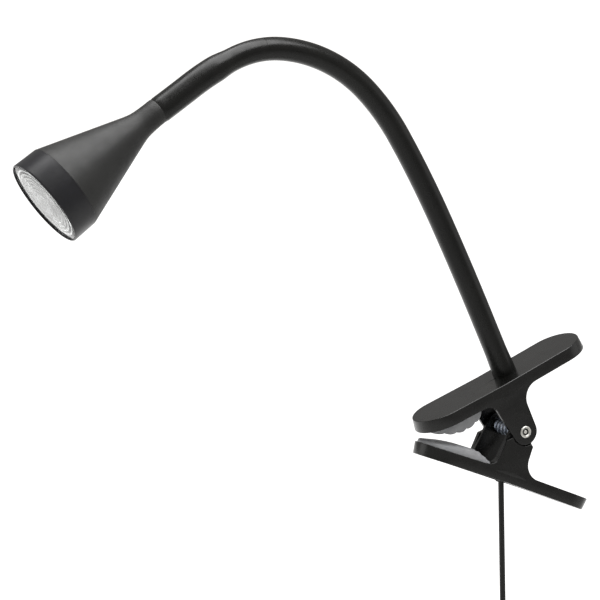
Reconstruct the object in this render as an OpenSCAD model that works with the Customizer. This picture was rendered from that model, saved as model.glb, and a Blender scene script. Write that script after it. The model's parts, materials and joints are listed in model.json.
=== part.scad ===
// Clip on reading lamp: a spring clamp, a bendable neck and a small conical head.
// X runs from the jaw tips (-) to the handles (+), Z is up, and the origin is the
// point between the two jaw pads where the clamp grips a shelf or a headboard.

/* [Clamp] */
// Width of a jaw plate across its flat outer face
plate_w = 40; // [38:1:42]
// From the pivot forward to the centre of a jaw's round tip
tip_reach = 44; // [42:1:46]
// From the pivot back to the centre of a handle's round end
handle_reach = 51; // [48:1:54]
// Height of a jaw plate's outer face above the pivot
plate_h = 37; // [36.5:0.5:37.5]
// Depth of the rim round a jaw plate
rim_h = 8.5; // [8:0.5:9]
// How far the rim spreads from its outer face to its open edge
rim_draft = 1.2; // [0.8:0.1:1.4]
// Thickness of the jaw walls
jaw_wall = 2.2; // [1.8:0.1:2.4]
// Tilt of each jaw from the clamp's middle plane, in degrees
jaw_angle = 22; // [21.5:0.5:22.5]
// Radius of the ear round the pivot
ear_r = 9.2; // [9:0.1:9.4]
// Thickness of one ear
ear_t = 3; // [2.8:0.1:3.2]
// Diameter of the pivot rivet's shank
rivet_d = 6; // [5.5:0.5:6.5]
// Diameter of the pivot rivet's head
rivet_head_d = 9; // [8.5:0.5:9.5]
// Wire diameter of the torsion spring
spring_wire = 1.9; // [1.7:0.1:2]
// Mean radius of the torsion spring's coils
spring_r = 5; // [4.9:0.1:5.2]
// Turns of the torsion spring
spring_turns = 5; // [4:1:6]

/* [Pads] */
// Distance between two teeth of a pad
tooth_pitch = 7.2; // [6.8:0.2:7.6]
// Depth of the notches between the teeth
tooth_depth = 1.5; // [1.2:0.1:1.8]
// How far the upper pad's crown stands out of its jaw
upper_crown = 8; // [7:0.5:8.5]
// How far the lower pad's crown stands out of its jaw
lower_crown = 4.6; // [3.5:0.1:5]

/* [Neck] */
// Diameter of the neck's sleeve
neck_d = 15.6; // [15:0.1:15.6]
// Diameter of the sleeve where it is stretched over the end fitting at the head
collar_d = 17.4; // [17:0.1:17.6]
// Diameter of the sleeve where it meets the clamp
base_d = 17.2; // [16.6:0.1:17.4]
// Diameter of the wound steel hose inside the sleeve
hose_d = 10.6; // [10:0.1:10.8]
// Distance of the neck from the pivot, along the clamp's upper plate
neck_s = 11; // [10.5:0.5:12]

/* [Head] */
// Diameter of the ring at the front of the head
head_d = 60; // [58:1:61]
// Length of the front ring
ring_len = 17.5; // [16.5:0.5:18.5]
// Length of the head from its front to the neck
head_len = 97; // [95:1:99]
// Wall thickness of the shade
shade_wall = 1.8; // [1.6:0.1:2]
// Free diameter of the ring's front opening
lens_d = 57; // [56:0.5:57]

/* [Cord] */
// Diameter of the cord
cord_d = 4; // [3.6:0.1:4]
// Mean diameter of the stored coil of cord
coil_d = 46; // [44:1:48]
// Diameter of the bundle of turns in that coil
bundle_d = 21; // [20:1:22]

/* [Hidden] */
// ---- places ----
pivot_x = 55;
plate_r = plate_w / 2;
rim_r = plate_r + rim_draft;
flare = 1;
rim_low = plate_h - rim_h;
ear_y = rim_r - 0.15;
lug_gap = 0.3;
lug_t = 2.9;
lug_y = ear_y - ear_t - lug_gap;
ear_top = rim_low + 0.9;
skin_gap = 0.7;
big = 200;

// ---- neck: seven sleeves as [length, kink at its lower end, turn along it] ----
sleeves = [[50, 0, 0], [62, 1, 0], [64, 3.1, 0], [34, 4.2, 6.4], [66, 1.3, 34.1], [62, 0.6, 41.1],
           [52.2, 6.4, 0]];
head_kink = 3.6;
neck_r = neck_d / 2;
hose_r = hose_d / 2;
bore_r = hose_r + 0.1;
socket_gap = 0.3;
ball_r = neck_r - 0.4;
collar_len = 43;
// a station is [x, z, heading], measured from the pivot
neck_foot = [neck_s * cos(flare), plate_h + neck_s * sin(flare)];
neck_start = [
    neck_foot[0] * cos(jaw_angle) - neck_foot[1] * sin(jaw_angle),
    neck_foot[0] * sin(jaw_angle) + neck_foot[1] * cos(jaw_angle),
    90 + jaw_angle + flare
];

function turn_radius(sleeve) = sleeve[0] / (sleeve[2] * PI / 180);
// the station at the far end of a sleeve that starts at a given station
function beyond(at, sleeve) =
    sleeve[2] == 0
        ? [at[0] + sleeve[0] * cos(at[2]), at[1] + sleeve[0] * sin(at[2]), at[2]]
        : let (r = turn_radius(sleeve), next = at[2] + sleeve[2])
          [at[0] + r * (sin(next) - sin(at[2])), at[1] - r * (cos(next) - cos(at[2])), next];
// where a sleeve starts, and where it ends
function start_of(i) = i == 0 ? neck_start : end_of(i - 1) + [0, 0, sleeves[i][1]];
function end_of(i) = beyond(start_of(i), sleeves[i]);
neck_end = end_of(len(sleeves) - 1) + [0, 0, head_kink];

// ---- head, measured back from its front face along its axis ----
head_r = head_d / 2;
lens_r = lens_d / 2;
ring_back_r = head_r - 0.2;
waist_at = 79;
waist_r = 9.9;
neck_back_r = 8.7;
sink_at = 24;
screw_x = 16.2;

// ---- cord: route points in the plane y = 0 ----
exit_x = pivot_x - 8;
exit_z = -36.6;
switch_top_z = -127;
switch_len = 58;
switch_w = 22;
switch_t = 15;
coil_x = 77;
coil_z = -233;
driver_top_z = -297;
cord_r = cord_d / 2;
upper_route = [[47, 0, exit_z], [47, 0, -46], [47, 0, -56], [47, 0, -66], [47, 0, -76], [47, 0, -86],
               [47, 0, -96], [47, 0, -105], [47, 0, -114],
               [47, 0, switch_top_z]];
lower_route = [[47, 0, -185], [47, 0, -191], [47, 0, -198], [47, 0, -205], [47, 0, -212], [47, 0, -217]];
end_route = [[47, 0, -249], [47, 0, -257], [47, 0, -265], [47, 0, -273], [47, 0, -281], [47, 0, -289]];
lead_route = [[52, 0, 22], [54, 0, 18], [58, 0, 14], [62, 0, 9], [64, 0, 3], [64, 0, -4], [62, 0, -10],
              [58, 0, -15], [53, 0, -19], [49, 0, -22], [47.2, 0, -25], [47, 0, -28], [47, 0, -32],
              [47, 0, exit_z]];

// ---- pin plug on the driver ----
pin_d = 4;
pin_len = 19;
pin_gap = 18.6;
driver_w = 44;
driver_h = 66;
driver_t = 26;
driver_shell = 2;
driver_mid_z = driver_top_z - driver_h / 2;

$fn = 64;

// ================= frames =================
// the upper jaw's own frame: origin at the pivot, X along the plate, Z away from the other jaw
module upper_side() {
    translate([pivot_x, 0, 0]) rotate([0, -jaw_angle, 0]) children();
}
module lower_side() {
    translate([pivot_x, 0, 0]) mirror([0, 0, 1]) rotate([0, -jaw_angle, 0]) children();
}
// the front of a jaw, mirrored so that X runs towards the tip, with the jaw's small flare
module towards_tip() {
    mirror([1, 0, 0]) towards_handle() children();
}
module towards_handle() {
    translate([0, 0, plate_h]) rotate([0, -flare, 0]) translate([0, 0, -plate_h]) children();
}
// a station on the neck: Z along the neck, the neck bends towards -X
module on_neck(at) {
    translate([pivot_x + at[0], 0, at[1]]) rotate([0, 90 - at[2], 0]) children();
}
// the head: Z runs from the front face back to the neck
module on_head() {
    on_neck(neck_end) translate([0, 0, head_len]) mirror([0, 0, 1]) children();
}
// a flat shape in X and Z, thickened along Y about the middle plane or from y_from up
module upright(thickness, y_from) {
    translate([0, y_from + thickness, 0]) rotate([90, 0, 0]) linear_extrude(thickness) children();
}

// ================= clamp =================
// half of a drafted plate: a straight stretch and a round end
module half_block(reach, low_r, high_r, low, high) {
    translate([reach, 0, low]) cylinder(r1 = low_r, r2 = high_r, h = high - low);
    translate([-3, 0, 0]) rotate([90, 0, 90]) linear_extrude(reach + 3)
        polygon([[-low_r, low], [low_r, low], [high_r, high], [-high_r, high]]);
}
module half_shell(reach) {
    edge = 0.7;
    slope = rim_draft / rim_h;
    intersection() {
        towards_handle() difference() {
            union() {
                half_block(reach, rim_r, plate_r + edge * slope, rim_low, plate_h - edge);
                half_block(reach, plate_r + edge * slope, plate_r - edge, plate_h - edge, plate_h);
            }
            half_block(reach, rim_r - jaw_wall + slope, plate_r - jaw_wall + jaw_wall * slope,
                       rim_low - 1, plate_h - jaw_wall);
        }
        translate([0, -big / 2, -big / 2]) cube([big, big, big]);
    }
}
module ear_outline() {
    front = 13.3;
    front_r = 8.7;
    back = 9.1;
    back_r = 12;
    difference() {
        union() {
            circle(r = ear_r);
            polygon([[-ear_r, 0], [-front, rim_low - front_r], [-front - front_r, rim_low - front_r],
                     [-front - front_r, ear_top], [back + back_r, ear_top],
                     [back + back_r, rim_low - back_r], [back, rim_low - back_r], [ear_r, 0]]);
        }
        translate([-front - front_r, rim_low - front_r]) circle(r = front_r);
        translate([back + back_r, rim_low - back_r]) circle(r = back_r);
    }
}
module jaw_shell() {
    half_shell(handle_reach);
    mirror([1, 0, 0]) half_shell(tip_reach);
}
// both ears of the outer pair
module outer_ears() {
    for (side = [0, 1]) mirror([0, side, 0]) upright(ear_t, ear_y - ear_t) children();
}

module upper_jaw() {
    color([0.14, 0.14, 0.13]) upper_side() difference() {
        union() {
            jaw_shell();
            outer_ears() ear_outline();
            // boss that backs the plate round the neck's fitting
            towards_handle() translate([neck_s, 0, plate_h - jaw_wall - 1.5])
                cylinder(r = 12, h = 2);
        }
        rotate([90, 0, 0]) cylinder(r = rivet_d / 2 + 0.05, h = 60, center = true);
        towards_handle() translate([neck_s, 0, plate_h - 12]) cylinder(r = 5.1, h = 20);
    }
}

module lower_jaw() {
    shoulder = 7.6;
    color([0.14, 0.14, 0.13]) difference() {
        lower_side() difference() {
            union() {
                jaw_shell();
                // outer skin of the ears, flush with the upper jaw's ears
                for (side = [0, 1]) mirror([0, side, 0])
                    upright(ear_t + lug_gap + 0.6, lug_y - 0.6) difference() {
                        ear_outline();
                        circle(r = ear_r + skin_gap);
                        polygon([[-shoulder, 6.2], [-50, 48], [-50, -20], [50, -20], [50, 48], [shoulder, 6.2]]);
                    }
                // lugs that carry the rivet, inside the upper jaw's ears
                for (side = [0, 1]) mirror([0, side, 0]) upright(lug_t, lug_y - lug_t) ear_outline();
            }
            rotate([90, 0, 0]) cylinder(r = rivet_d / 2, h = 60, center = true);
        }
        translate([exit_x, 0, -60]) cylinder(r = 4, h = 40);
    }
}

// side view of a pad: a crowned, notched face below a flat back, X running towards the tip
function crown_at(s, peak) = let (d = s - 39) peak * (1 - pow(d / (d > 0 ? 24 : 18), 2));
module pad_outline(peak) {
    back_at = 25;
    front_at = 61;
    back_h = plate_h - jaw_wall - 0.1;
    teeth = floor((front_at - back_at) / tooth_pitch);
    polygon(concat(
        [[back_at, back_h], [back_at, rim_low - 0.5]],
        [for (i = [0 : teeth - 1], corner = [0, 1])
            let (s = back_at + 1 + (i + corner * 0.88) * tooth_pitch)
            [s, rim_low - max(0.3, crown_at(s, peak) - corner * tooth_depth)]],
        [[front_at, rim_low - 0.2], [front_at + 5, rim_low - 0.1], [front_at + 5, back_h]]
    ));
}
module pad(peak) {
    pad_r = plate_r - jaw_wall + 0.1;
    intersection() {
        towards_tip() upright(big, -big / 2) pad_outline(peak);
        towards_tip() half_block(tip_reach, pad_r, pad_r - 0.2, 5, plate_h);
    }
}
module lower_pad() {
    color([0.55, 0.56, 0.56]) lower_side() pad(lower_crown);
}
module upper_pad() {
    color([0.55, 0.56, 0.56]) upper_side() pad(upper_crown);
}

module pivot_rivet() {
    shank = ear_y + 0.1;
    color([0.8, 0.8, 0.78]) translate([pivot_x, 0, 0]) rotate([90, 0, 0]) difference() {
        union() {
            cylinder(r = rivet_d / 2, h = 2 * shank, center = true);
            for (side = [0, 1]) mirror([0, 0, side]) translate([0, 0, shank])
                cylinder(r1 = rivet_head_d / 2, r2 = rivet_head_d / 2 - 0.5, h = 1);
        }
        for (side = [0, 1]) mirror([0, 0, side]) translate([0, 0, shank - 5])
            cylinder(r1 = 1.6, r2 = 2.4, h = 6.1);
    }
}

// swept tube: rings of points joined along a route, closed by its two end faces
function unit(v) = v / norm(v);
function ring_dir(route, i) =
    unit(route[min(i + 1, len(route) - 1)] - route[max(i - 1, 0)]);
function ring(route, i, r, sides, side_dir) =
    let (t = ring_dir(route, i), a = unit(side_dir - t * (side_dir * t)), b = cross(t, a))
    [for (k = [0 : sides - 1]) route[i] + r * (a * cos(360 * k / sides) + b * sin(360 * k / sides))];
module swept(route, r, sides, side_dir) {
    n = len(route);
    points = [for (i = [0 : n - 1]) each ring(route, i, r, sides, side_dir)];
    walls = [for (i = [0 : n - 2], k = [0 : sides - 1])
        let (m = (k + 1) % sides)
        [i * sides + k, (i + 1) * sides + k, (i + 1) * sides + m, i * sides + m]];
    foot = [for (k = [0 : sides - 1]) k];
    head = [for (k = [sides - 1 : -1 : 0]) (n - 1) * sides + k];
    polyhedron(points = points, faces = concat(walls, [foot], [head]), convexity = 10);
}

// the spring: a leg under the lower handle, open coils round the rivet, a leg under the upper handle
spring_half = 12.6;
spring_steps = 16;
function coil_point(turn) =
    let (a = 360 * turn)
    [pivot_x + spring_r * cos(a), spring_half * (2 * turn / spring_turns - 1), spring_r * sin(a)];
spring_foot = 35.7;
spring_route = concat(
    [[pivot_x - 0.3, -spring_half, -spring_foot], [pivot_x + spring_r - 0.4, -spring_half, -6]],
    [for (i = [0 : spring_turns * spring_steps]) coil_point(i / spring_steps)],
    [[pivot_x + spring_r - 0.4, spring_half, 6], [pivot_x - 0.3, spring_half, spring_foot]]
);
module torsion_spring() {
    color([0.7, 0.74, 0.78]) swept(spring_route, spring_wire / 2, 8, [0.3, 1, 0.1]);
}

module cord_grommet() {
    color([0.1, 0.1, 0.1]) difference() {
        intersection() {
            translate([exit_x, 0, -60]) cylinder(r = 4, h = 33);
            lower_side() translate([-big / 2, -big / 2, 0]) cube([big, big, plate_h - 0.6]);
        }
        translate([exit_x, 0, -61]) cylinder(r = cord_r, h = 40);
    }
}
module inner_lead() {
    color([0.12, 0.12, 0.12]) swept(lead_route, cord_r - 0.3, 8, [0, 1, 0]);
}

// ================= neck =================
// a round bar or, with a bore, a tube along one sleeve
module along(i, r, bore) {
    sleeve = sleeves[i];
    on_neck(start_of(i)) {
        if (sleeve[2] == 0) {
            straight_tube(r, bore, 0, sleeve[0]);
        } else {
            bend = turn_radius(sleeve);
            translate([-bend, 0, 0]) rotate([90, 0, 0]) rotate_extrude(angle = sleeve[2], $fn = 200)
                translate([bend, 0]) difference() {
                    circle(r = r, $fn = 40);
                    circle(r = bore, $fn = 40);
                }
        }
    }
}
module straight_tube(r, bore, low, high) {
    translate([0, 0, low]) difference() {
        cylinder(r = r, h = high - low);
        translate([0, 0, -1]) cylinder(r = bore, h = high - low + 2);
    }
}
// the rounded upper end of a sleeve, which the next sleeve turns on
module ball_end(i) {
    on_neck(end_of(i)) difference() {
        sphere(r = ball_r, $fn = 48);
        translate([0, 0, -2 * neck_r - 0.6]) cylinder(r = neck_r + 1, h = 2 * neck_r);
        translate([0, 0, -1]) cylinder(r = bore_r + 0.2, h = 2 * neck_r);
    }
}
module sleeve(i) {
    last = len(sleeves) - 1;
    difference() {
        union() {
            along(i, neck_r, bore_r);
            if (i < last) ball_end(i);
            if (i == 0) on_neck(start_of(i)) difference() {
                cylinder(r1 = base_d / 2, r2 = neck_r - 0.2, h = 36);
                translate([0, 0, -1]) cylinder(r = bore_r, h = 38);
            }
            if (i == last) on_neck(start_of(i)) collar(sleeves[i][0]);
        }
        if (i > 0) on_neck(start_of(i)) sphere(r = neck_r + socket_gap, $fn = 48);
    }
}
// the sleeve's end stretched over the fitting at the head
module collar(length) {
    difference() {
        union() {
            translate([0, 0, length - collar_len - 7]) cylinder(r1 = neck_r - 0.2, r2 = collar_d / 2, h = 7.1);
            translate([0, 0, length - collar_len]) cylinder(r = collar_d / 2, h = collar_len);
        }
        cylinder(r = bore_r, h = length + 1);
    }
}
// the wound steel hose in a sleeve, cut clear of the socket and of the end fittings
module hose(i) {
    last = len(sleeves) - 1;
    wire_way = 2;
    difference() {
        along(i, hose_r, wire_way);
        if (i > 0) on_neck(start_of(i)) sphere(r = neck_r + socket_gap, $fn = 48);
        if (i == 0) on_neck(start_of(i)) translate([0, 0, -1]) cylinder(r = bore_r, h = 15);
        if (i == last) on_neck(end_of(i)) translate([0, 0, -24]) cylinder(r = bore_r, h = 26);
    }
}
module base_nipple() {
    color([0.7, 0.7, 0.7]) on_neck(neck_start) difference() {
        union() {
            translate([0, 0, -11]) cylinder(r = 5, h = 11.5);
            translate([0, 0, 0.4]) cylinder(r = hose_r, h = 13);
        }
        translate([0, 0, -12]) cylinder(r = 2.4, h = 27);
    }
}
module base_washer() {
    color([0.75, 0.75, 0.75]) on_neck(neck_start) translate([0, 0, -jaw_wall - 2.9]) difference() {
        cylinder(r = 9, h = 1.2);
        translate([0, 0, -1]) cylinder(r = 5.1, h = 4);
    }
}
module base_nut() {
    color([0.75, 0.75, 0.72]) on_neck(neck_start) translate([0, 0, -jaw_wall - 6.9]) difference() {
        cylinder(r = 8, h = 3.9, $fn = 6);
        translate([0, 0, -1]) cylinder(r = 5, h = 6);
    }
}

// ================= head =================
module neck_ferrule() {
    color([0.75, 0.75, 0.7]) difference() {
        union() {
            on_neck(end_of(len(sleeves) - 1)) translate([0, 0, -23]) cylinder(r = hose_r, h = 24);
            on_neck(neck_end) translate([0, 0, 0.1]) cylinder(r = 5.9, h = 15.6);
        }
        on_neck(end_of(len(sleeves) - 1)) translate([0, 0, -24]) cylinder(r = 3.4, h = 21);
        on_neck(neck_end) translate([0, 0, -6]) cylinder(r = 2.6, h = 24);
    }
}
module shade() {
    slope = (ring_back_r - waist_r) / (waist_at - ring_len);
    back = head_len - 0.3;
    color([0.18, 0.18, 0.18]) on_head() difference() {
        rotate_extrude() polygon([[0, ring_len], [ring_back_r - 0.2, ring_len],
            [ring_back_r, ring_len + 0.4], [waist_r + 1.2, waist_at - 4], [waist_r, waist_at + 0.4],
            [waist_r - 0.7, waist_at + 3.4], [neck_back_r + 0.2, waist_at + 7.4], [neck_back_r, waist_at + 11],
            [neck_back_r, back], [0, back]]);
        // the hollow behind the lamp
        translate([0, 0, ring_len - 1]) cylinder(r1 = ring_back_r - shade_wall + slope, r2 = 8.2 - shade_wall,
            h = waist_at - 3 - ring_len);
        // seat for the front ring's spigot
        translate([0, 0, ring_len - 1]) cylinder(r = ring_back_r - shade_wall, h = 5);
        translate([0, 0, waist_at - 10]) cylinder(r = 4, h = 40);
        translate([0, 0, head_len - 16]) cylinder(r = 6, h = 20);
    }
}
module front_ring() {
    spigot_r = ring_back_r - shade_wall - 0.1;
    color([0.2, 0.2, 0.22]) on_head() difference() {
        rotate_extrude() polygon([[lens_r, 0], [head_r - 0.5, 0], [head_r, 0.5],
            [ring_back_r, ring_len], [spigot_r, ring_len], [spigot_r, ring_len + 3.9],
            [spigot_r - 1.4, ring_len + 3.9], [spigot_r - 1.4, 3.6], [lens_r, 1.2]]);
        translate([0, 0, 1.2]) cylinder(r = lens_r - 0.05, h = 2.4);
    }
}
module lens() {
    color([0.8, 0.82, 0.84]) on_head() difference() {
        translate([0, 0, 1.3]) cylinder(r = lens_r - 0.1, h = 2.2);
        // stepped rings moulded in the back
        for (r = [6 : 4 : 26]) translate([0, 0, 3]) difference() {
            cylinder(r = r + 1, h = 1);
            translate([0, 0, -1]) cylinder(r = r - 1, h = 3);
        }
    }
}
module reflector() {
    color([0.85, 0.85, 0.86]) on_head() rotate_extrude() polygon([[26, 3.8], [26.2, 3.8], [26.2, 5],
        [20, 14], [13, 21], [13, sink_at - 2], [12, sink_at - 2], [12, 20.4], [19, 13.4], [25, 5]]);
}
module led_chip() {
    color([0.95, 0.9, 0.6]) on_head() translate([-5.5, -5.5, sink_at - 3]) cube([11, 11, 1]);
}
module led_board() {
    color([0.92, 0.92, 0.9]) on_head() difference() {
        translate([0, 0, sink_at - 2]) cylinder(r = 19, h = 1.6);
        for (x = [-screw_x, screw_x]) translate([x, 0, sink_at - 3]) cylinder(r = 1.6, h = 4);
    }
}
module board_screws() {
    color([0.8, 0.8, 0.8]) on_head() for (x = [-screw_x, screw_x]) translate([x, 0, 0]) difference() {
        union() {
            translate([0, 0, sink_at - 3.6]) cylinder(r = 2.1, h = 1.6);
            translate([0, 0, sink_at - 2.2]) cylinder(r = 1.5, h = 7);
        }
        translate([-2, -0.3, sink_at - 4]) cube([4, 0.6, 1]);
    }
}
module heat_sink() {
    color([0.75, 0.76, 0.78]) on_head() difference() {
        union() {
            translate([0, 0, sink_at - 0.4]) cylinder(r1 = 25, r2 = 23.6, h = 4.4);
            translate([0, 0, sink_at + 2]) cylinder(r = 7, h = 24);
            for (i = [0 : 4]) translate([0, 0, sink_at + 7 + 4 * i]) cylinder(r = 22 - 1.4 * i, h = 1.6);
        }
        for (x = [-screw_x, screw_x]) translate([x, 0, sink_at - 1]) cylinder(r = 1.5, h = 5);
        translate([0, 0, sink_at - 1]) cylinder(r = 2.5, h = 40);
    }
}

// ================= cord and what is on it =================
module cord_upper() {
    color([0.1, 0.1, 0.09]) swept(upper_route, cord_r, 8, [0, 1, 0]);
}
module cord_lower() {
    color([0.1, 0.1, 0.09]) swept(lower_route, cord_r, 8, [0, 1, 0]);
}
module cord_end() {
    color([0.1, 0.1, 0.09]) swept(end_route, cord_r, 8, [0, 1, 0]);
}
module cord_coil() {
    color([0.1, 0.1, 0.09]) translate([coil_x, 0, coil_z]) rotate([90, 0, 0]) rotate_extrude()
        translate([coil_d / 2, 0]) circle(r = bundle_d / 2, $fn = 32);
}
module cord_tie() {
    band = bundle_d / 2;
    color([0.15, 0.15, 0.15]) translate([coil_x + coil_d / 2, 0, coil_z]) difference() {
        cylinder(r = band + 1.6, h = 8, center = true);
        cylinder(r = band + 0.5, h = 10, center = true);
    }
}

// a round-ended box standing on its lower end: w across X, t through Y
module slim_case(w, t, low, high) {
    corner = 4;
    translate([0, -t / 2, 0]) rotate([-90, 0, 0]) linear_extrude(t) for (a = [0, 1]) mirror([a, 0]) {
        translate([w / 2 - corner, -low - corner]) circle(r = corner);
        translate([w / 2 - corner, -high + corner]) circle(r = corner);
        translate([0, -high]) square([w / 2 - corner, high - low]);
        translate([0, -high + corner]) square([w / 2, high - low - 2 * corner]);
    }
}
switch_low = switch_top_z - switch_len;
switch_mid = switch_top_z - switch_len / 2;
// the cord's way in at each end of the switch
module cord_holes() {
    translate([exit_x, 0, switch_low - 1]) cylinder(r = cord_r, h = switch_len + 2);
}
module switch_base() {
    color([0.12, 0.12, 0.12]) difference() {
        translate([exit_x, switch_t / 4, 0]) slim_case(switch_w, switch_t / 2, switch_low, switch_top_z);
        translate([exit_x - 8, -1, switch_low + 6]) cube([16, switch_t / 2 - 1, switch_len - 12]);
        cord_holes();
        for (z = [switch_low + 4, switch_top_z - 4]) translate([exit_x + 6.5, 0, z]) rotate([-90, 0, 0])
            cylinder(r = 1.2, h = 10);
    }
}
module switch_cover() {
    color([0.12, 0.12, 0.12]) difference() {
        translate([exit_x, -switch_t / 4, 0]) slim_case(switch_w, switch_t / 2, switch_low, switch_top_z);
        difference() {
            translate([exit_x - 8, -switch_t / 2 + 2, switch_low + 6]) cube([16, switch_t, switch_len - 12]);
            // cheeks that hold the rocker's pin
            for (x = [-8.1, 6.3]) translate([exit_x + x, -switch_t / 2 + 1, switch_mid - 3]) cube([1.8, 5, 6]);
        }
        translate([exit_x, rocker_y, switch_mid]) rotate([0, 90, 0])
            cylinder(r = rocker_pin_r, h = 15.8, center = true);
        translate([exit_x - 6.3, -switch_t, switch_mid - 11.3]) cube([12.6, switch_t, 22.6]);
        cord_holes();
        for (z = [switch_low + 4, switch_top_z - 4]) translate([exit_x + 6.5, -8, z]) rotate([-90, 0, 0]) {
            cylinder(r = 2.4, h = 3);
            cylinder(r = 1.3, h = 10);
        }
    }
}
module switch_screws() {
    color([0.7, 0.7, 0.7]) for (z = [switch_low + 4, switch_top_z - 4])
        translate([exit_x + 6.5, 0, z]) rotate([-90, 0, 0]) difference() {
            union() {
                translate([0, 0, -switch_t / 2 + 0.6]) cylinder(r = 2.3, h = 1.8);
                translate([0, 0, -switch_t / 2 + 1]) cylinder(r = 1.2, h = 12);
            }
            translate([-2, -0.3, -switch_t / 2]) cube([4, 0.6, 1.3]);
        }
}
rocker_y = -4.2;
rocker_tilt = 8;
rocker_pin_r = 1.2;
module switch_rocker() {
    color([0.16, 0.16, 0.16]) translate([exit_x, rocker_y, switch_mid]) rotate([rocker_tilt, 0, 0])
        difference() {
            union() {
                rotate([0, 90, 0]) cylinder(r = 3, h = 12, center = true);
                translate([-6, 0, 0]) rotate([90, 0, 90]) linear_extrude(12)
                    polygon([[1, -3], [1, 3], [-1, 9.8], [-4.6, 10.6], [-3.8, 0], [-4.6, -10.6], [-1, -9.8]]);
            }
            rotate([0, 90, 0]) cylinder(r = rocker_pin_r + 0.05, h = 30, center = true);
        }
}
module rocker_pin() {
    color([0.85, 0.7, 0.4]) translate([exit_x, rocker_y, switch_mid]) rotate([0, 90, 0])
        cylinder(r = rocker_pin_r, h = 15.8, center = true);
}

// ---- driver ----
module driver_block(front, back, wall) {
    translate([exit_x, (front + back) / 2, 0])
        slim_case(driver_w - 2 * wall, back - front, driver_mid_z - driver_h / 2 + wall,
                  driver_mid_z + driver_h / 2 - wall);
}
driver_split = -2;
module driver_front() {
    color([0.12, 0.12, 0.12]) difference() {
        driver_block(-driver_t / 2, driver_split, 0);
        driver_block(-driver_t / 2 + driver_shell, driver_split + 1, driver_shell);
        translate([exit_x, 0, driver_top_z - 4]) cylinder(r = 4, h = 10);
    }
}
module driver_back() {
    color([0.12, 0.12, 0.12]) difference() {
        driver_block(driver_split, driver_t / 2, 0);
        driver_block(driver_split - 1, driver_t / 2 - driver_shell, driver_shell);
        translate([exit_x, 0, driver_top_z - 4]) cylinder(r = 4, h = 10);
        for (x = [-1, 1]) translate([exit_x + x * pin_gap / 2, 0, driver_mid_z]) rotate([-90, 0, 0])
            cylinder(r = pin_d / 2 - 0.4, h = 30);
    }
}
module driver_relief() {
    color([0.1, 0.1, 0.1]) difference() {
        union() {
            translate([exit_x, 0, driver_top_z - 3.5]) cylinder(r = 4, h = 4);
            translate([exit_x, 0, driver_top_z]) cylinder(r1 = 4, r2 = cord_r + 0.7, h = 20);
        }
        translate([exit_x, 0, driver_top_z + 8]) cylinder(r = cord_r, h = 20);
    }
}
module driver_board() {
    color([0.1, 0.4, 0.2]) translate([exit_x - 17, 0.4, driver_mid_z - 27]) cube([34, 1.6, 52]);
}
module driver_transformer() {
    color([0.3, 0.3, 0.32]) translate([exit_x - 9, -9.6, driver_mid_z - 22]) cube([18, 9.9, 17]);
}
module plug_pins() {
    stem = driver_t / 2 - 2.1;
    color([0.85, 0.85, 0.85]) for (x = [-1, 1])
        translate([exit_x + x * pin_gap / 2, driver_t / 2, driver_mid_z]) rotate([-90, 0, 0]) {
            translate([0, 0, -stem]) cylinder(r = pin_d / 2 - 0.4, h = stem);
            cylinder(r = pin_d / 2, h = pin_len - 0.6);
            translate([0, 0, pin_len - 0.6]) cylinder(r1 = pin_d / 2, r2 = pin_d / 2 - 0.6, h = 0.6);
        }
}

lower_jaw();
upper_jaw();
lower_pad();
upper_pad();
pivot_rivet();
torsion_spring();
cord_grommet();
inner_lead();
base_nipple();
base_washer();
base_nut();
color([0.13, 0.13, 0.12]) sleeve(0);  // sleeve_0
color([0.13, 0.13, 0.12]) sleeve(1);  // sleeve_1
color([0.13, 0.13, 0.12]) sleeve(2);  // sleeve_2
color([0.13, 0.13, 0.12]) sleeve(3);  // sleeve_3
color([0.13, 0.13, 0.12]) sleeve(4);  // sleeve_4
color([0.13, 0.13, 0.12]) sleeve(5);  // sleeve_5
color([0.13, 0.13, 0.12]) sleeve(6);  // sleeve_6
color([0.6, 0.6, 0.6]) hose(0);  // hose_0
color([0.6, 0.6, 0.6]) hose(1);  // hose_1
color([0.6, 0.6, 0.6]) hose(2);  // hose_2
color([0.6, 0.6, 0.6]) hose(3);  // hose_3
color([0.6, 0.6, 0.6]) hose(4);  // hose_4
color([0.6, 0.6, 0.6]) hose(5);  // hose_5
color([0.6, 0.6, 0.6]) hose(6);  // hose_6
neck_ferrule();
shade();
front_ring();
lens();
reflector();
led_chip();
led_board();
heat_sink();
board_screws();
cord_upper();
switch_base();
switch_cover();
switch_rocker();
rocker_pin();
switch_screws();
cord_lower();
cord_coil();
cord_tie();
cord_end();
driver_relief();
driver_front();
driver_back();
driver_board();
driver_transformer();
plug_pins();
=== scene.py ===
# %% [markdown]
# # A clip on reading lamp
# A spring clamp grips a shelf, a bendable neck stands on the clamp, and a small conical head
# hangs at the neck's end. The engineering model is already packed as a set of bodies and
# joints. This lesson loads it as a fixed frame and builds the visible surfaces around it.
# Everything is in the same frame as the engineering model: X runs from the jaw tips to the
# handles, Z is up, Y runs across the clamp. Two helpers read places back from the frame in
# millimetres, so that the cord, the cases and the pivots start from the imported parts.

# %% Load the frame
import json
import math
import bmesh
import bpy
from mathutils import Matrix, Vector


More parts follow.
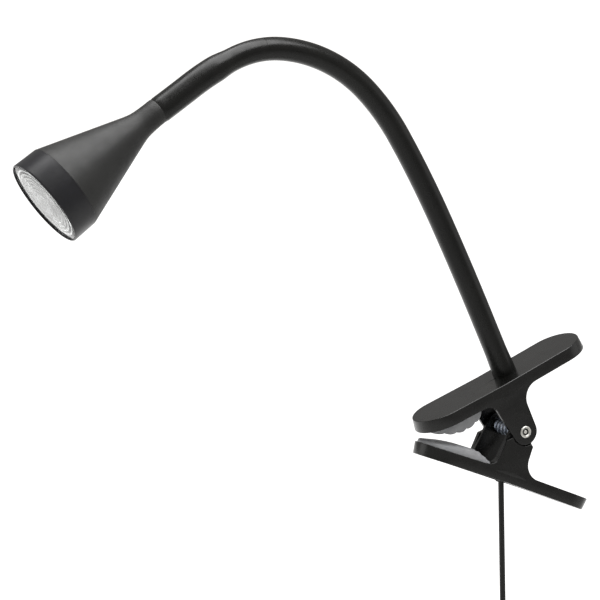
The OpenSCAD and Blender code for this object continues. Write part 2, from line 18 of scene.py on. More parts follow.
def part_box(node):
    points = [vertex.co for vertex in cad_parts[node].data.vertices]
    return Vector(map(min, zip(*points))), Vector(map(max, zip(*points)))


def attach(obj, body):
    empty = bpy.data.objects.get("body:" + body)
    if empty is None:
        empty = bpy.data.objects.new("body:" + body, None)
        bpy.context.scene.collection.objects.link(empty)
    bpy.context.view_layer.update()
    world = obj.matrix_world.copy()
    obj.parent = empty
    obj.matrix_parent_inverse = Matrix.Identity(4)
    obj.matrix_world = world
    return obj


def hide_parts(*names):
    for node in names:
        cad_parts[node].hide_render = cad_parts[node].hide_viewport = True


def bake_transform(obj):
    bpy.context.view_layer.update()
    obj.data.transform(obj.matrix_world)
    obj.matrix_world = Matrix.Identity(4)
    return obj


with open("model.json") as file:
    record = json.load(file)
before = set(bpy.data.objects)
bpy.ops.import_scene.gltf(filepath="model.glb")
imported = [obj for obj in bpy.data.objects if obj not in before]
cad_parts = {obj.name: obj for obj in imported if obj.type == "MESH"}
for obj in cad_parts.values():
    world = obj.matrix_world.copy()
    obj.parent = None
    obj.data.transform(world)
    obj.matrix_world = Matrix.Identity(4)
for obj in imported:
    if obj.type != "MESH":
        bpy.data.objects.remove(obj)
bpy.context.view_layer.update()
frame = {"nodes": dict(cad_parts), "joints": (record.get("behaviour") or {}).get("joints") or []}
MM = 0.001


def box_mm(node):
    """A node's lowest and highest corners at rest, to a hundredth of a millimetre."""
    return [[round(v / MM, 2) for v in corner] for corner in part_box(node)]


def joint_place(name):
    """Where a joint's axis passes, in millimetres."""
    joint = next(joint for joint in frame["joints"] if joint["name"] == name)
    return [round(v / MM, 2) for v in joint["pos_m"]]


# %% [markdown]
# ## The camera
# The camera comes first, because what it can't see decides where the rest of the cord is put
# away. A long lens from about two metres keeps the perspective flat, so that a long thin
# lamp keeps its true proportions. It could be aimed with a tracking constraint, but a plain
# matrix is exact: three unit vectors for right, up and back, and a place.

# %% Place the camera
CAMERA_AZIMUTH = math.radians(-24.94)
CAMERA_ELEVATION = math.radians(6.93)
CAMERA_ROLL = math.radians(-1.38)
CAMERA_PLACE = Vector((-0.8532, -1.6128, 0.3168))
LENS_MM = 162
SENSOR_MM = 36


def place_camera():
    ce, se = math.cos(CAMERA_ELEVATION), math.sin(CAMERA_ELEVATION)
    ca, sa = math.cos(CAMERA_AZIMUTH), math.sin(CAMERA_AZIMUTH)
    cr, sr = math.cos(CAMERA_ROLL), math.sin(CAMERA_ROLL)
    back = Vector((sa * ce, -ca * ce, se))
    level_right = Vector((ca, sa, 0))
    level_up = back.cross(level_right)
    right = level_right * cr + level_up * sr
    up = level_up * cr - level_right * sr
    data = bpy.data.cameras.new("camera")
    data.lens, data.sensor_width = LENS_MM, SENSOR_MM
    camera = bpy.data.objects.new("camera", data)
    bpy.context.scene.collection.objects.link(camera)
    camera.matrix_world = Matrix.Translation(CAMERA_PLACE) @ Matrix((right, up, back)).transposed().to_4x4()
    bpy.context.scene.camera = camera
    return back


to_camera = place_camera()
print("the camera looks along", [round(-v, 3) for v in to_camera])

# %% [markdown]
# ## Finishes: one colour function and one node function
# Colours are chosen as sRGB hex, as a painter's chart gives them, and turned to the linear
# values that the shader works in. One function adds a node, sets it and links it, so that
# every material below reads as a short list of layers.

# %% Colour and node helpers


def srgb(code, alpha=1.0):
    """A hex colour as linear red, green, blue and alpha."""
    channels = [int(code[i : i + 2], 16) / 255 for i in (1, 3, 5)]
    return tuple(c / 12.92 if c <= 0.04045 else ((c + 0.055) / 1.055) ** 2.4 for c in channels) + (alpha,)


def add(tree, kind, inputs=None, **settings):
    """Add a node, set its properties, and set or link its inputs."""
    node = tree.nodes.new(kind)
    for key, value in settings.items():
        setattr(node, key, value)
    for key, value in (inputs or {}).items():
        if isinstance(value, bpy.types.NodeSocket):
            tree.links.new(value, node.inputs[key])
        else:
            node.inputs[key].default_value = value
    return node


def new_material(name, **shader_values):
    """A material with one principled shader; returns it, its tree, the shader and the object's own place."""
    material = bpy.data.materials.new(name)
    material.use_nodes = True
    tree = material.node_tree
    tree.nodes.clear()
    shader = add(tree, "ShaderNodeBsdfPrincipled", {k.replace("_", " "): v for k, v in shader_values.items()})
    add(tree, "ShaderNodeOutputMaterial", {"Surface": shader.outputs[0]})
    place = add(tree, "ShaderNodeTexCoord").outputs["Object"]
    return material, tree, shader, place


def ramp(tree, factor, low, high, low_at=0.35, high_at=0.65):
    """Two colours, or two grey values, spread over the middle of a pattern."""
    node = add(tree, "ShaderNodeValToRGB", {"Fac": factor})
    ends = node.color_ramp.elements
    for end, at, value in ((ends[0], low_at, low), (ends[1], high_at, high)):
        end.position = at
        end.color = value if isinstance(value, tuple) else (value, value, value, 1)
    return node.outputs[0]


# %% [markdown]
# ## Moulded plastic
# The clamp's jaws are ABS, injection moulded in a steel mould with a fine satin finish. To the
# eye that is a near black with a soft, still readable reflection, tiny dimples from the mould's
# spark erosion, and a faint unevenness of gloss where the plastic flowed and where hands have
# polished it. The real dimples are about 0.05 mm and would vanish at this distance, so they
# are drawn at 0.35 mm. The same recipe, with other numbers, gives the head's ring, the switch
# and the driver.

# %% Plastics, rubber and coatings


def moulded(name, dark, light, rough, grain_mm, depth, gloss_spread=0.06, blotch_mm=18, **shader_values):
    """A moulded or coated surface: colour in slow blotches, gloss in slower ones, grain as bump."""
    material, tree, shader, place = new_material(name, **shader_values)
    blotch = add(tree, "ShaderNodeTexNoise", {"Vector": place, "Scale": 1 / (blotch_mm * MM), "Detail": 3.0})
    colour = ramp(tree, blotch.outputs[0], srgb(dark), srgb(light))
    tree.links.new(colour, shader.inputs["Base Color"])
    wear_values = {"Vector": place, "Scale": 1 / (7 * MM), "Detail": 5.0, "Roughness": 0.6}
    wear = add(tree, "ShaderNodeTexNoise", wear_values)
    gloss = ramp(tree, wear.outputs[0], rough - gloss_spread, rough + gloss_spread, 0.3, 0.7)
    tree.links.new(gloss, shader.inputs["Roughness"])
    grain = add(tree, "ShaderNodeTexNoise", {"Vector": place, "Scale": 1 / (grain_mm * MM), "Detail": 2.0})
    bump = add(tree, "ShaderNodeBump", {"Height": grain.outputs[0], "Strength": 0.6, "Distance": depth * MM})
    tree.links.new(bump.outputs[0], shader.inputs["Normal"])
    return material


# jaws: a fine satin mould, so the gloss is soft but can still be read
satin_abs = moulded("satin_moulded_abs", "#0d0d0c", "#131312", 0.26, 0.35, 0.006, IOR=1.53)
# the ring's mould is finer but duller, and its black is a little bluish
ring_abs = moulded("fine_moulded_abs", "#151519", "#1a1a1f", 0.36, 0.35, 0.008, IOR=1.53)
# powder coat melts into a faint orange peel and stays matt
shade_coat = moulded("powder_coated_steel", "#1f1f1e", "#252524", 0.52, 0.5, 0.012, 0.05, IOR=1.5)
# silicone is smooth when drawn, with a long soft highlight
sleeve_rubber = moulded("satin_silicone_sleeve", "#0d0d0c", "#131311", 0.3, 0.45, 0.012, IOR=1.42)
# thermoplastic rubber is chalky and almost without gloss
pad_rubber = moulded("moulded_tpe_rubber", "#9b9c9f", "#a8a9ab", 0.62, 0.6, 0.03, 0.08, 9, IOR=1.5)
# soft PVC for the cord, the bush and the sleeve at the driver
cord_pvc = moulded("matt_soft_pvc", "#10110e", "#171815", 0.5, 0.8, 0.03, 0.08, 12, IOR=1.52)
# cases are spark eroded coarser, which hides finger marks
case_abs = moulded("textured_moulded_abs", "#121211", "#191918", 0.38, 0.6, 0.03, IOR=1.53)
# a rocker is moulded glossy, so that it feels different from its case
rocker_abs = moulded("gloss_moulded_abs", "#151515", "#1c1c1c", 0.2, 0.4, 0.004, IOR=1.53)
tie_pvc = moulded("ribbed_pvc_tie", "#141414", "#1d1d1d", 0.45, 0.7, 0.03, IOR=1.52)
print("plastics made:", len(bpy.data.materials))

# %% [markdown]
# ## Metals
# The rivet is nickel-plated steel, the spring bright zinc with its bluish cast, the plug pins
# nickel-plated brass and the reflector plastic with aluminium evaporated on it. Each metal
# keeps the shader's own index of refraction; what tells them apart is tint, roughness and the
# marks of making: drawn wire has lines along it, plated heads have soft ripples.

# %% Metals and lamp parts


def plated(name, dark, light, rough, mark_mm, stretch=(1, 1, 1), depth=0.01):
    """A bare or plated metal with marks that can be stretched along one direction."""
    material, tree, shader, place = new_material(name, Metallic=1.0)
    squeeze = add(tree, "ShaderNodeMapping", {"Vector": place, "Scale": stretch})
    mark_values = {"Vector": squeeze.outputs[0], "Scale": 1 / (mark_mm * MM), "Detail": 4.0}
    marks = add(tree, "ShaderNodeTexNoise", mark_values)
    tree.links.new(ramp(tree, marks.outputs[0], srgb(dark), srgb(light)), shader.inputs["Base Color"])
    tree.links.new(ramp(tree, marks.outputs[0], rough - 0.06, rough + 0.08), shader.inputs["Roughness"])
    bump = add(tree, "ShaderNodeBump", {"Height": marks.outputs[0], "Strength": 0.4, "Distance": depth * MM})
    tree.links.new(bump.outputs[0], shader.inputs["Normal"])
    return material


nickel_steel = plated("nickel_plated_steel", "#e4e3dd", "#f6f5ef", 0.42, 1.2)
zinc_wire = plated("bright_zinc_wire", "#aab3c2", "#cfd7e4", 0.3, 0.8, (1, 0.25, 1))
zinc_steel = plated("zinc_plated_steel", "#a9adb2", "#c6cacf", 0.34, 1.5)
nickel_brass = plated("nickel_plated_brass", "#cfccc0", "#e5e2d6", 0.24, 0.9, (1, 0.2, 1))
cast_alloy = plated("die_cast_aluminium", "#a4a6a8", "#bec0c2", 0.5, 1.0, depth=0.03)
mirror_coat = plated("vacuum_metallised_plastic", "#7f7f7c", "#b4b4b0", 0.18, 3.0, depth=0.02)
white_mask = moulded("white_solder_mask", "#d8d8d4", "#e6e6e2", 0.35, 0.5, 0.004, IOR=1.5)
green_mask = moulded("green_solder_mask", "#0f4a24", "#16602f", 0.3, 0.5, 0.004, IOR=1.5)
phosphor = moulded("led_phosphor_gel", "#d8b64a", "#e9c95e", 0.45, 0.3, 0.01, IOR=1.45)
ferrite = moulded("sintered_ferrite", "#26272a", "#303236", 0.6, 0.4, 0.02, IOR=1.6)


def clear_acrylic():
    """Injection moulded acrylic: clear, with the faint orange peel that moulding leaves."""
    material, tree, shader, place = new_material(
        "moulded_clear_acrylic", Base_Color=srgb("#eef0f0"), IOR=1.49, Transmission_Weight=1.0
    )
    peel = add(tree, "ShaderNodeTexNoise", {"Vector": place, "Scale": 1 / (2.5 * MM), "Detail": 2.0})
    tree.links.new(ramp(tree, peel.outputs[0], 0.03, 0.12), shader.inputs["Roughness"])
    bump = add(tree, "ShaderNodeBump", {"Height": peel.outputs[0], "Strength": 0.5, "Distance": 0.03 * MM})
    tree.links.new(bump.outputs[0], shader.inputs["Normal"])
    return material


lens_acrylic = clear_acrylic()
print("materials made:", len(bpy.data.materials))

# %% [markdown]
# ## Making a mesh
# Three ways of making cover every piece of this lamp. A lathe turns a profile round an axis,
# as for the shade and the rivet. A sweep carries a circle along a line, as for the neck, the
# spring and the cord. A loft joins closed outlines, as for the plates and the cases. All of
# them give plain lists of corners and faces in millimetres, and one function makes the object,
# rides it on its body and hides the engineering parts that it stands for.

# %% Lathe, sweep and loft


def make(name, mesh_data, material, body, replaces=(), matrix=None, crease=35):
    """An object from corners in millimetres, in place, riding on a body."""
    corners, faces = mesh_data
    place = matrix or Matrix.Identity(4)
    mesh = bpy.data.meshes.new(name)
    mesh.from_pydata([place @ Vector(c) * MM for c in corners], [], faces)
    work = bmesh.new()
    work.from_mesh(mesh)
    bmesh.ops.remove_doubles(work, verts=work.verts, dist=1e-7)
    bmesh.ops.recalc_face_normals(work, faces=work.faces)
    work.to_mesh(mesh)
    work.free()
    mesh.materials.append(material)
    mesh.shade_smooth()
    mesh.set_sharp_from_angle(angle=math.radians(crease))
    piece = bpy.data.objects.new(name, mesh)
    bpy.context.scene.collection.objects.link(piece)
    print(name, "has", len(mesh.vertices), "corners")
    if body:
        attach(piece, body)
    if replaces:
        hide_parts(*replaces)
    return piece


def loft(rings, loop=False, caps=True):
    """Quads between rings of equal length; the ends are capped, or joined to each other."""
    count, corners, faces = len(rings[0]), [c for ring in rings for c in ring], []
    steps = len(rings) if loop else len(rings) - 1
    for i in range(steps):
        a, b = i * count, (i + 1) % len(rings) * count
        for k in range(count):
            m = (k + 1) % count
            faces.append((a + k, b + k, b + m, a + m))
    if caps and not loop:
        faces.append(tuple(range(count)))
        faces.append(tuple(range(len(corners) - count, len(corners)))[::-1])
    return corners, faces


def lathe(profile, sides=96, loop=False):
    """Turn (radius, height) points round Z; an open profile starts and ends near the axis."""
    rings = [
        [(r * math.cos(a), r * math.sin(a), z) for a in (2 * math.pi * k / sides for k in range(sides))]
        for r, z in profile
    ]
    return loft(rings, loop)


def sweep(line, radius, sides=16, bore=0.0):
    """Carry a circle, or with a bore a tube, along a line; radius is a number or one per point."""
    line = [Vector(p) for p in line]
    radii = radius if isinstance(radius, list) else [radius] * len(line)
    across = None
    outer, inner = [], []
    for i, point in enumerate(line):
        along = (line[min(i + 1, len(line) - 1)] - line[max(i - 1, 0)]).normalized()
        if across is None:
            across = along.orthogonal() if abs(along.y) > 0.9 else Vector((0, 1, 0))
        across = (across - along * across.dot(along)).normalized()
        other = along.cross(across)
        spokes = [
            across * math.cos(2 * math.pi * k / sides) + other * math.sin(2 * math.pi * k / sides)
            for k in range(sides)
        ]
        outer.append([tuple(point + s * radii[i]) for s in spokes])
        inner.append([tuple(point + s * bore) for s in spokes])
    return loft(outer + inner[::-1], loop=True) if bore else loft(outer)


def join(*parts):
    """Several meshes as one, side by side."""
    corners, faces = [], []
    for more_corners, more_faces in parts:
        faces += [tuple(i + len(corners) for i in face) for face in more_faces]
        corners += more_corners
    return corners, faces


# %% [markdown]
# ## The cord
# A thin two-core low-voltage cord, 4 mm thick. It leaves the clamp straight down through the
# lower plate and hangs plumb, because it is soft and its switch and driver pull on it. A
# hanging cord needs no physics engine: its rest shape is a straight line. The length that
# isn't in use is wound into a neat round coil with a tie, and hangs below, out of the
# camera's view. Each turn of the coil lies in its own place in the bundle, one cord's
# thickness from its neighbours, and moves to the next place as it goes round.

# %% Route the cord
cord_low, cord_high = box_mm("cord_upper")
switch_low, switch_high = box_mm("switch_base")
coil_low, coil_high = box_mm("cord_coil")
CORD_X = (cord_low[0] + cord_high[0]) / 2
EXIT_Z = cord_high[2]
SWITCH_TOP, SWITCH_BOTTOM = switch_high[2], switch_low[2]
COIL_RADIUS = 24.0
COIL_X, COIL_Z = CORD_X + 32.0, (coil_low[2] + coil_high[2]) / 2
RELIEF_TOP = box_mm("driver_relief")[1][2]
CORD_END = RELIEF_TOP - 13.0
CORD_R = 2.0
LAY_PITCH = 4.66


def ease(t):
    """From 0 to 1, starting and ending level."""
    t = min(max(t, 0.0), 1.0)
    return t * t * (3 - 2 * t)


def bundle_places():
    """Where each turn lies in the bundle, as (outward, sideways): a zigzag round a honeycomb."""
    places = []
    for k in range(11):
        angle = math.radians(30 * k)
        far = LAY_PITCH * (math.sqrt(3) if k % 2 == 0 else 1)
        places.append((far * math.cos(angle), far * math.sin(angle)))
    return places


def stored_route():
    """From the switch into the coil, round it turn by turn, and out to the driver."""
    places = bundle_places()
    turns = len(places) - 1
    first, last = places[0], places[-1]
    enter_x = COIL_X - COIL_RADIUS - first[0]
    route = []
    for i in range(12):
        t = i / 12
        drop = SWITCH_BOTTOM + t * (COIL_Z - SWITCH_BOTTOM)
        route.append((CORD_X + (enter_x - CORD_X) * ease(t), first[1] * ease(t), drop))
    steps = turns * 30
    for i in range(steps + 1):
        turn = i * turns / steps
        slot, part = min(int(turn), turns - 1), turn - min(int(turn), turns - 1)
        out = places[slot][0] + (places[slot + 1][0] - places[slot][0]) * part
        side = places[slot][1] + (places[slot + 1][1] - places[slot][1]) * part
        angle = 2 * math.pi * turn
        reach = COIL_RADIUS + out
        route.append((COIL_X - reach * math.cos(angle), side, COIL_Z - reach * math.sin(angle)))
    leave_x = COIL_X - COIL_RADIUS - last[0]
    for i in range(1, 13):
        t = i / 12
        drift = ease((t - 0.15) / 0.8)
        drop = COIL_Z + t * (RELIEF_TOP - COIL_Z)
        route.append((leave_x + (CORD_X - leave_x) * drift, last[1] * (1 - drift), drop))
    return route + [(CORD_X, 0, RELIEF_TOP - 7), (CORD_X, 0, CORD_END)]


hanging_route = [(CORD_X, 0, EXIT_Z + (SWITCH_TOP - EXIT_Z) * i / 19) for i in range(20)]
coiled_route = stored_route()
cord_hanging = make(
    "cord_hanging", sweep(hanging_route, CORD_R), cord_pvc, "lower_jaw", ["cord_upper"]
)
cord_stored = make(
    "cord_stored", sweep(coiled_route, CORD_R, 12), cord_pvc, "lower_jaw",
    ["cord_lower", "cord_coil", "cord_end"],
)

# %% [markdown]
# The tie is a flat ribbed strip closed round the bundle, a little wider than it is thick.

# %% Tie the coil


def tie_band():
    """A strip round the bundle, ribbed across."""
    rings = []
    middle = Vector((COIL_X + COIL_RADIUS, 0, COIL_Z))
    for z_side, radius in ((-4, 10.6), (-4, 11.7), (-3.4, 12.0), (3.4, 12.0), (4, 11.7), (4, 10.6)):
        ring = []
        for k in range(72):
            angle = 2 * math.pi * k / 72
            rib = 0.18 * math.cos(angle * 36) if radius > 11.9 else 0
            reach = radius + rib
            ring.append((middle.x + reach * math.cos(angle), reach * math.sin(angle), middle.z + z_side))
        rings.append(ring)
    return loft(rings, loop=True)


make("coil_tie", tie_band(), tie_pvc, "lower_jaw", ["cord_tie"])

# %% [markdown]
# ## Cases with rounded edges
# The switch and the driver are small two-part cases. Each half is a loft of rounded
# rectangles: full size along its walls, and a little smaller each step over the front edge,
# which gives a soft moulded edge with its own highlight. A bevel modifier would do too, but
# the loft also leaves a true opening for the rocker.

# %% Case outlines


def rounded_rectangle(width, height, corner, arc=8):
    """Corners of a rounded rectangle round the origin."""
    points = []
    for quarter in range(4):
        cx = (width / 2 - corner) * (1 if quarter in (0, 3) else -1)
        cy = (height / 2 - corner) * (1 if quarter in (0, 1) else -1)
        for k in range(arc + 1):
            angle = math.radians(90 * quarter + 90 * k / arc)
            points.append((cx + corner * math.cos(angle), cy + corner * math.sin(angle)))
    return points


def case_half(width, height, corner, middle_z, back_y, front_y, edge, opening=None):
    """Half a case from back_y to front_y; an opening is (width, height, collar) through it."""
    out = 1 if front_y > back_y else -1

    def ring(w, h, c, y):
        return [(CORD_X + x, y, middle_z + z) for x, z in rounded_rectangle(w, h, c)]

    rings = [ring(width - 0.5, height - 0.5, corner, back_y)]
    rings.append(ring(width, height, corner, back_y + out * 0.25))
    for k in range(7):
        angle = math.radians(15 * k)
        inset = edge * (1 - math.cos(angle))
        y = front_y - out * edge * (1 - math.sin(angle))
        rings.append(ring(width - 2 * inset, height - 2 * inset, max(corner - inset, 0.6), y))
    if opening is None:
        rings.append(ring(width * 0.5, height * 0.5, 1.5, front_y + out * 0.12))
        return loft(rings)
    w, h, collar = opening
    brim = front_y + out * collar
    for grow, y in ((3.0, front_y), (2.6, brim), (0.5, brim), (0, brim - out * 0.3), (0, back_y)):
        rings.append(ring(w + grow, h + grow, 1.0 + grow / 3, y))
    return loft(rings, loop=True)


SWITCH_MID = (SWITCH_TOP + SWITCH_BOTTOM) / 2
SWITCH_OUTLINE = (switch_high[0] - switch_low[0], SWITCH_TOP - SWITCH_BOTTOM, 5)
SWITCH_DEPTH, SWITCH_EDGE = switch_high[1], 2.2
ROCKER_OPENING = (12.6, 22.6, 0.7)
switch_back = make(
    "switch_back", case_half(*SWITCH_OUTLINE, SWITCH_MID, 0.1, SWITCH_DEPTH, SWITCH_EDGE),
    case_abs, "lower_jaw", ["switch_base"],
)
switch_front = make(
    "switch_front",
    case_half(*SWITCH_OUTLINE, SWITCH_MID, -0.1, -SWITCH_DEPTH, SWITCH_EDGE, ROCKER_OPENING),
    case_abs, "lower_jaw", ["switch_cover"],
)

# %% [markdown]
# The rocker turns on a steel pin. Its face is two shallow scoops for a fingertip, one proud of
# the case and one level with it, and the three raised bars on the proud end are felt in the
# dark.

# %% The rocker
ROCKER_Y, ROCKER_TILT = joint_place("switch_rocker")[1], math.radians(8)


def rocker():
    """A side profile with two scoops, carried across with rounded ends."""
    profile = [(1.0, -3.0), (1.0, 3.0), (-0.6, 9.4), (-1.6, 10.1)]
    for k in range(13):
        z = 10.2 - 20.4 * k / 12
        scoop = 0.55 * math.sin(math.pi * abs(z) / 10.2)
        bar = 0.18 if z > 0 and k in (2, 3, 4) else 0
        profile.append((-3.9 - 0.75 * abs(z) / 10.2 + scoop - bar, z))
    profile += [(-1.6, -10.1), (-0.6, -9.4)]
    rings = []
    for x, shrink in ((-6.0, 0.5), (-5.8, 0.2), (-5.4, 0.0), (5.4, 0.0), (5.8, 0.2), (6.0, 0.5)):
        rings.append([(x, y * (1 - shrink * 0.08), z * (1 - shrink * 0.04)) for y, z in profile])
    return loft(rings)


rocker_place = Matrix.Translation((CORD_X, ROCKER_Y, SWITCH_MID)) @ Matrix.Rotation(ROCKER_TILT, 4, "X")
make("rocker", rocker(), rocker_abs, "rocker", ["switch_rocker"], rocker_place)

# %% [markdown]
# ## The driver
# The plug-in driver turns mains into the LED's low voltage. It hangs at the cord's end, with
# two round pins on its back and a soft, ribbed sleeve where the cord goes in, which keeps the
# cord from being bent sharply at that point.

# %% The driver, its pins and its sleeve
driver_low, driver_high = box_mm("driver_back")
DRIVER_TOP, DRIVER_BOTTOM, DRIVER_SPLIT = driver_high[2], driver_low[2], driver_low[1]
DRIVER_MID = (DRIVER_TOP + DRIVER_BOTTOM) / 2
DRIVER_OUTLINE = (driver_high[0] - driver_low[0], DRIVER_TOP - DRIVER_BOTTOM, 6)
PIN_GAP, PIN_START = 18.6, driver_high[1]
PIN_LENGTH = box_mm("plug_pins")[1][1] - PIN_START
driver_front = make(
    "driver_front", case_half(*DRIVER_OUTLINE, DRIVER_MID, DRIVER_SPLIT - 0.15, -PIN_START, 3.2),
    case_abs, "lower_jaw", ["driver_front"],
)
driver_back = make(
    "driver_back", case_half(*DRIVER_OUTLINE, DRIVER_MID, DRIVER_SPLIT + 0.15, PIN_START, 2.4),
    case_abs, "lower_jaw", ["driver_back"],
)


def pin_profile():
    """A pin with a shoulder, a long shank and a domed tip."""
    dome = []
    for k in range(6):
        angle = math.radians(15 * k)
        dome.append((2.0 * math.cos(angle), PIN_LENGTH - 1.2 + 1.2 * math.sin(angle)))
    return [(0.05, -6.0), (1.6, -6.0), (1.6, 0.02), (2.0, 0.05)] + dome + [(0.05, PIN_LENGTH)]


pins = []
for side in (-1, 1):
    root = Matrix.Translation((CORD_X + side * PIN_GAP / 2, PIN_START, DRIVER_MID))
    pin_place = root @ Matrix.Rotation(math.radians(-90), 4, "X")
    corners, faces = lathe(pin_profile(), 40)
    pins.append(([tuple(pin_place @ Vector(c)) for c in corners], faces))
plug_pins = make("plug_pins_plated", join(*pins), nickel_brass, "lower_jaw", ["plug_pins"])


def relief_profile():
    """A tapering sleeve cut by grooves, so that it bends easily."""
    profile = [(0.1, -3.4), (3.9, -3.4), (3.9, 0.6)]
    for k in range(7):
        z = 1.2 + 2.4 * k
        r = 3.9 - 1.2 * z / 20
        profile += [(r, z), (r, z + 1.3), (r - 0.7, z + 1.5), (r - 0.7, z + 2.2)]
    return profile + [(2.9, 18.6), (2.6, 20.0), (2.05, 20.0), (2.05, 12.0), (0.1, 12.0)]


driver_relief = make(
    "driver_relief_ribbed", lathe(relief_profile(), 48),
    cord_pvc, "lower_jaw", ["driver_relief"],
    Matrix.Translation((CORD_X, 0, DRIVER_TOP)),
)
print("driver hangs to", DRIVER_BOTTOM, "mm")

# %% [markdown]
# ## The jaws
# Both jaws come from one shape: a flat plate with round ends, a drafted rim all round it, and
# a pair of ears that carry the pivot. The lower one is its mirror image. The plate is a loft of
# stadium outlines, out over the rim and back inside it, with a small radius on each edge,
# because a moulded edge is never sharp and its thin highlight is what makes it read as
# plastic. The ears are lofted too, and lie a hair's breadth proud of the rim, so that the two
# read as one moulding.

# %% Jaw shape
JAW_TILT = math.radians(22)
JAW_FLARE = math.radians(1)
PIVOT_X = joint_place("jaw_hinge")[0]
PLATE_H, RIM_LOW = 37.0, 28.5
PLATE_R, RIM_R = 20.0, 21.2
PLATE_WALL = 2.5
TIP_S, HANDLE_S, LOWER_HANDLE_S = -44.0, 51.0, 52.6
DRAFT = (RIM_R - PLATE_R) / (PLATE_H - RIM_LOW)


def from_jaw(s, y, h, side):
    """A point of a jaw in the lamp's frame: s along the plate, h away from the other jaw."""
    h += abs(s) * math.sin(JAW_FLARE)
    x = PIVOT_X + s * math.cos(JAW_TILT) - h * math.sin(JAW_TILT)
    return (x, y, side * (s * math.sin(JAW_TILT) + h * math.cos(JAW_TILT)))


def stadium(radius, height, side, arc=28, straight=40):
    """The plate's outline at one height, as a ring of points."""
    flat, end_s = [], HANDLE_S if side > 0 else LOWER_HANDLE_S
    for k in range(arc + 1):
        angle = math.radians(90 + 180 * k / arc)
        flat.append((TIP_S + radius * math.cos(angle), radius * math.sin(angle)))
    flat += [(TIP_S + (end_s - TIP_S) * k / straight, -radius) for k in range(1, straight)]
    for k in range(arc + 1):
        angle = math.radians(-90 + 180 * k / arc)
        flat.append((end_s + radius * math.cos(angle), radius * math.sin(angle)))
    flat += [(end_s + (TIP_S - end_s) * k / straight, radius) for k in range(1, straight)]
    return [from_jaw(s, y, height, side) for s, y in flat]


def plate_mesh(side):
    """One jaw's plate: out over the rim and the rounded edge, across the top, and back inside."""
    outside = [(RIM_R - 0.5, RIM_LOW), (RIM_R - 0.15, RIM_LOW + 0.12), (RIM_R, RIM_LOW + 0.5)]
    edge = 0.6
    turn_r, turn_h = PLATE_R + DRAFT * edge - edge, PLATE_H - edge
    for k in range(7):
        angle = math.radians(90 * k / 6)
        outside.append((turn_r + edge * math.cos(angle), turn_h + edge * math.sin(angle)))
    outside += [(turn_r - 0.25, PLATE_H), (14.0, PLATE_H), (7.0, PLATE_H), (0.02, PLATE_H)]
    under = PLATE_H - PLATE_WALL
    inside = [(19.3, RIM_LOW), (19.0, RIM_LOW + 0.12), (18.8, RIM_LOW + 0.5), (17.9, under - 1.3)]
    inside += [(17.5, under - 0.4), (16.6, under), (10.0, under), (0.02, under)]
    return loft([stadium(r, h, side) for r, h in outside[::-1] + inside])


def ear_arc(cx, cy, radius, start, end, count):
    """An arc of an ear's outline, from one angle in degrees to another."""
    return [
        (cx + radius * math.cos(a), cy + radius * math.sin(a))
        for a in (math.radians(start + (end - start) * k / count) for k in range(count + 1))
    ]


def ear_sides(front, front_r, back, back_r, top):
    """The ear's two long edges with their fillets into the rim: rear edge up, then front edge down."""
    rear = ear_arc(back + back_r, RIM_LOW - back_r, back_r, 180, 90, 12)
    fore = ear_arc(-front - front_r, RIM_LOW - front_r, front_r, 90, 0, 12)
    return rear + [(back + back_r, top), (-front - front_r, top)] + fore


def full_ear(radius, front, front_r, back, back_r, top):
    """An ear with a whole round end."""
    return ear_arc(0, 0, radius, 190, 359, 26) + ear_sides(front, front_r, back, back_r, top)


def notched_ear(gap_r, front, front_r, back, back_r, top):
    """An ear cut back round the other jaw's ear: an arc between two sloping shoulders."""
    shoulder = math.degrees(math.atan2(6.2, 7.6))
    arc = ear_arc(0, 0, gap_r, 180 - shoulder, shoulder, 22)
    return [(-front + 0.9, 9.6)] + arc + [(back - 0.1, 7.8)] + ear_sides(front, front_r, back, back_r, top)


def inset(outline, amount):
    """Move every point of an outline inwards."""
    moved = []
    for i, point in enumerate(outline):
        before, after = Vector(outline[i - 1]), Vector(outline[(i + 1) % len(outline)])
        here = Vector(point)
        a, b = (here - before), (after - here)
        if a.length < 1e-6 or b.length < 1e-6:
            moved.append(point)
            continue
        along = a.normalized() + b.normalized()
        normal = Vector((-along.y, along.x)).normalized()
        moved.append(tuple(here + normal * amount))
    return moved


def ear_mesh(outline, y_in, y_out, side, edge=0.45, blend_rim=True):
    """One ear, thickened from y_in to y_out, with softened edges; it follows the rim's draft."""
    rings = []
    sign = 1 if y_out > y_in else -1
    levels = [(y_in, edge * 0.6), (y_in + sign * edge * 0.6, 0)]
    for k in range(5):
        angle = math.radians(90 * k / 4)
        levels.append((y_out - sign * edge * (1 - math.sin(angle)), edge * (1 - math.cos(angle))))
    for y, amount in levels:
        ring = []
        for s, h in inset(outline, amount):
            lean = DRAFT * max(0.0, h - RIM_LOW) if blend_rim else 0.0
            ring.append(from_jaw(s, y - sign * lean * abs(y) / abs(y_out), h, side))
        rings.append(ring)
    return loft(rings)


# %% [markdown]
# The upper jaw's ears are outermost. The lower jaw has a skin flush with them that is cut
# back in a round notch, so that the ears can turn past each other, and inner lugs that hold
# the rivet.

# %% Build the jaws
EAR_OUT, EAR_IN = 21.23, 18.2
LUG_OUT, LUG_IN = 17.9, 15.0
UPPER_EAR = (13.3, 8.7, 9.1, 12.0)
LOWER_EAR = (12.6, 8.4, 9.9, 11.6)


